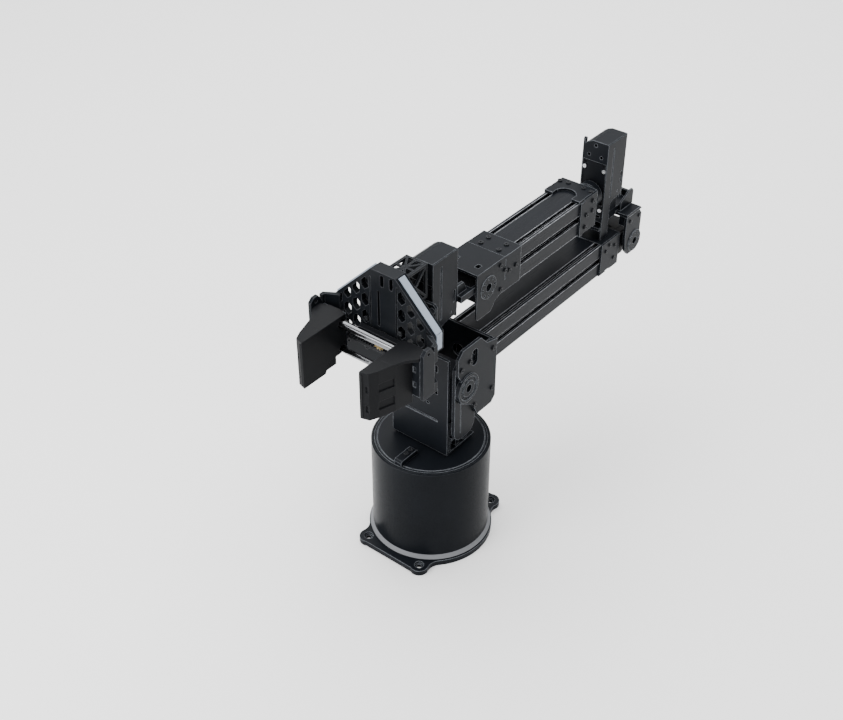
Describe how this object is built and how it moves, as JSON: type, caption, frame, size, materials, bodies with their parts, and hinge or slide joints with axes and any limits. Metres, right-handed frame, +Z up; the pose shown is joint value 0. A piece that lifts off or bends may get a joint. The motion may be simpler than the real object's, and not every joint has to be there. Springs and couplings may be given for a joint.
{
  "type": "desktop robot arm",
  "caption": "Desktop robot arm with a round base, a turning tower, folded slotted beams, a turning wrist and a sliding two-jaw gripper on guide rods.",
  "frame": {"origin": "waist axis at the surface the base stands on", "axes": "+X forward, the side the gripper faces at rest; +Y to the robot's left; +Z up along the waist axis"},
  "size_m": [0.484, 0.132, 0.345],
  "materials": {
    "black_metal": "black anodised and bead blasted",
    "servo_case": "moulded, fine texture",
    "black_plastic": "moulded, satin",
    "steel": "machined",
    "black_steel": "black oxide",
    "polished_steel": "ground and polished",
    "silver_aluminium": "light satin",
    "brass": "machined",
    "circuit_board": "solder mask"
  },
  "bodies": {
    "base": {"base_plate": "black_metal", "base_cover": "black_metal", "waist_servo": "servo_case", "waist_servo_mount": "black_metal", "bearing_outer_ring": "steel", "bearing_balls": "steel", "control_board": "circuit_board", "base_screws": "black_steel", "power_inlet": "black_plastic"},
    "turret": {"turntable": "black_metal", "bearing_inner_ring": "steel", "waist_horn": "steel", "turret_bracket": "black_metal", "index_block": "black_metal", "shoulder_servo_left": "servo_case", "shoulder_servo_right": "servo_case", "turret_screws": "black_steel"},
    "upper_arm": {"shoulder_horns": "black_steel", "shoulder_plate_left": "black_metal", "shoulder_plate_right": "black_metal", "shoulder_web": "black_metal", "upper_arm_beam": "black_metal", "elbow_end_block": "black_metal", "elbow_servo": "servo_case", "upper_arm_screws": "black_steel"},
    "elbow": {"elbow_horns": "black_steel", "elbow_plate_left": "black_metal", "elbow_plate_right": "black_metal", "elbow_bridge": "black_metal", "roll_servo": "servo_case", "roll_bracket": "black_metal", "elbow_screws": "black_steel", "roll_screws": "steel"},
    "forearm": {"roll_hub": "black_metal", "forearm_end_block": "black_metal", "forearm_beam": "black_metal", "wrist_fork": "black_metal", "wrist_servo": "servo_case", "forearm_screws": "black_steel"},
    "wrist": {"wrist_horns": "black_steel", "wrist_neck": "black_metal", "rotate_servo": "servo_case", "rotate_bracket": "black_metal"},
    "gripper": {"rotate_hub": "steel", "gripper_mount": "black_metal", "gripper_servo": "servo_case", "gripper_frame": "black_plastic", "edge_strips": "silver_aluminium", "lattice_brace": "black_plastic", "guide_rods": "polished_steel", "gripper_screws": "black_steel"},
    "pinion": {"drive_pinion": "brass"},
    "left_finger": {"left_carriage": "black_metal", "left_jaw": "black_plastic", "left_rack": "black_steel"},
    "right_finger": {"right_carriage": "black_metal", "right_jaw": "black_plastic", "right_rack": "black_steel"}
  },
  "joints": [
    {"name": "waist_yaw", "type": "hinge", "parent": "base", "child": "turret", "pos_m": [0, 0, 0.119], "axis": [0, 0, 1], "range_deg": [-170, 170]},
    {"name": "shoulder_pitch", "type": "hinge", "parent": "turret", "child": "upper_arm", "pos_m": [0, 0, 0.2], "axis": [0, 1, 0], "range_deg": [-12, 75]},
    {"name": "elbow_pitch", "type": "hinge", "parent": "upper_arm", "child": "elbow", "pos_m": [-0.33, 0, 0.2], "axis": [0, -1, 0], "range_deg": [0, 150]},
    {"name": "forearm_roll", "type": "hinge", "parent": "elbow", "child": "forearm", "pos_m": [-0.276, 0, 0.275], "axis": [1, 0, 0], "range_deg": [-90, 90]},
    {"name": "wrist_pitch", "type": "hinge", "parent": "forearm", "child": "wrist", "pos_m": [-0.058, 0, 0.275], "axis": [0, -1, 0], "range_deg": [-10, 26]},
    {"name": "wrist_rotate", "type": "hinge", "parent": "wrist", "child": "gripper", "pos_m": [0.017, 0, 0.275], "axis": [1, 0, 0], "range_deg": [-180, 180]},
    {"name": "left_jaw_slide", "type": "slide", "parent": "gripper", "child": "left_finger", "axis": [0, -1, 0], "range_m": [0, 0.03]},
    {"name": "right_jaw_slide", "type": "slide", "parent": "gripper", "child": "right_finger", "axis": [0, 1, 0], "range_m": [0, 0.03]},
    {"name": "pinion_spin", "type": "hinge", "parent": "gripper", "child": "pinion", "pos_m": [0.0735, 0, 0.275], "axis": [1, 0, 0], "range_deg": [0, 286.48]}
  ],
  "couplings": [
    {"joint": "right_jaw_slide", "follows": "left_jaw_slide", "ratio": 1},
    {"joint": "pinion_spin", "follows": "left_jaw_slide", "rad_per_m": 166.67}
  ]
}
